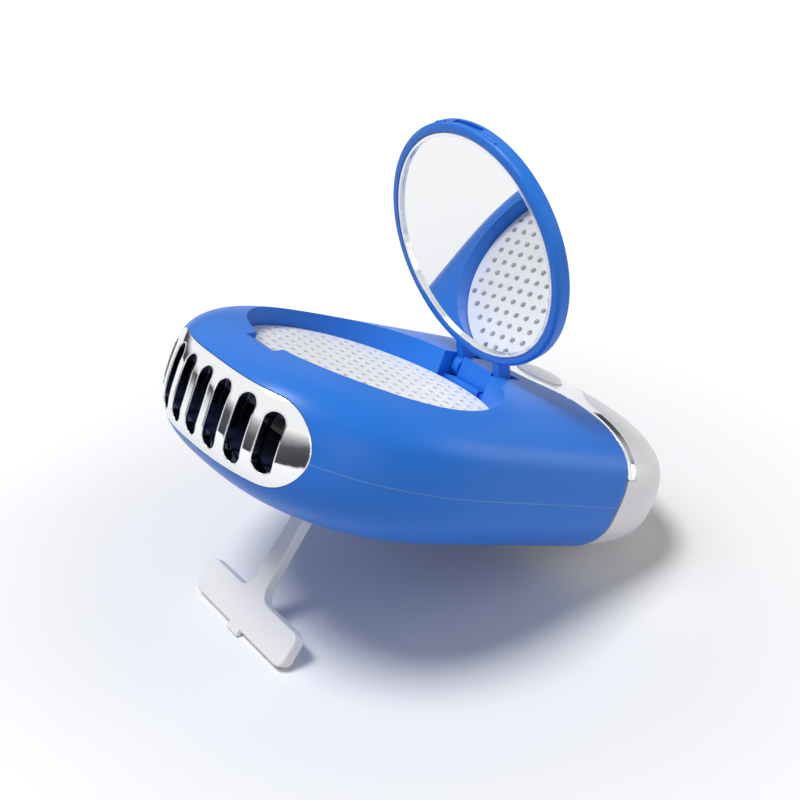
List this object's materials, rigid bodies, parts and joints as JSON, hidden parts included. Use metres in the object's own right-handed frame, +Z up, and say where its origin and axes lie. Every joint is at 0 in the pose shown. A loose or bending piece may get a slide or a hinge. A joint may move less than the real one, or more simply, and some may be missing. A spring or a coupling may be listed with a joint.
{
  "type": "eyelash extension fan",
  "caption": "Hand-held cordless drying fan with a slotted front outlet, a flip-up round mirror lid over its intake screen and a fold-out T-shaped leg.",
  "frame": {"origin": "centre of the bounding box's footprint, on the surface that the foot and the rear cap stand on", "axes": "+X forward, the way the air leaves, +Z up, +Y to the left flank; the body is tipped 24.4 degrees, front up"},
  "size_m": [0.1222, 0.0861, 0.1119],
  "materials": {
    "blue_shell": "satin blue moulding",
    "chrome_trim": "bright plated",
    "white_shell": "satin white moulding",
    "mirror_face": "silvered glass",
    "white_screen": "fine matte",
    "grey_foam": "open-cell foam",
    "navy_inner": "matte moulding",
    "pale_wheel": "matte moulding",
    "steel": "plain metal",
    "battery_wrap": "foil pouch",
    "board_green": "solder mask",
    "black_part": "matte",
    "lead_red": "wire insulation",
    "lead_black": "wire insulation"
  },
  "bodies": {
    "fan_body": {"upper_shell": "blue_shell", "lower_shell": "blue_shell", "outlet_grille": "chrome_trim", "rear_trim": "chrome_trim", "rear_cap": "white_shell", "intake_screen": "white_screen", "filter_foam": "grey_foam", "battery_foam": "grey_foam", "inlet_plate": "navy_inner", "blower_housing": "navy_inner", "motor": "steel", "board_screws": "steel", "case_screws": "steel", "charging_socket": "steel", "lid_hinge_pin": "steel", "leg_hinge_pin": "steel", "battery": "battery_wrap", "circuit_board": "board_green", "button_switch": "black_part", "motor_leads": "lead_red", "battery_leads": "lead_black"},
    "lid": {"mirror_lid": "blue_shell", "mirror_glass": "mirror_face", "mirror_ring": "chrome_trim"},
    "leg": {"support_leg": "white_shell"},
    "button": {"power_button": "white_shell"},
    "rotor": {"blower_wheel": "pale_wheel", "motor_shaft": "steel"}
  },
  "joints": [
    {"name": "lid_hinge", "type": "hinge", "parent": "fan_body", "child": "lid", "pos_m": [-0.02114, 0, 0.04502], "axis": [0, 1, 0], "range_deg": [-40, 59]},
    {"name": "leg_hinge", "type": "hinge", "parent": "fan_body", "child": "leg", "pos_m": [0.02822, 0, 0.03111], "axis": [0, 1, 0], "range_deg": [0, 105]},
    {"name": "button_press", "type": "slide", "parent": "fan_body", "child": "button", "axis": [0.4131, 0, -0.9107], "range_m": [0, 0.0005], "stiffness_N_per_m": 1500},
    {"name": "rotor_spin", "type": "hinge", "parent": "fan_body", "child": "rotor", "pos_m": [0.01853, 0, 0.04593], "axis": [-0.4131, 0, 0.9107], "continuous": true}
  ]
}
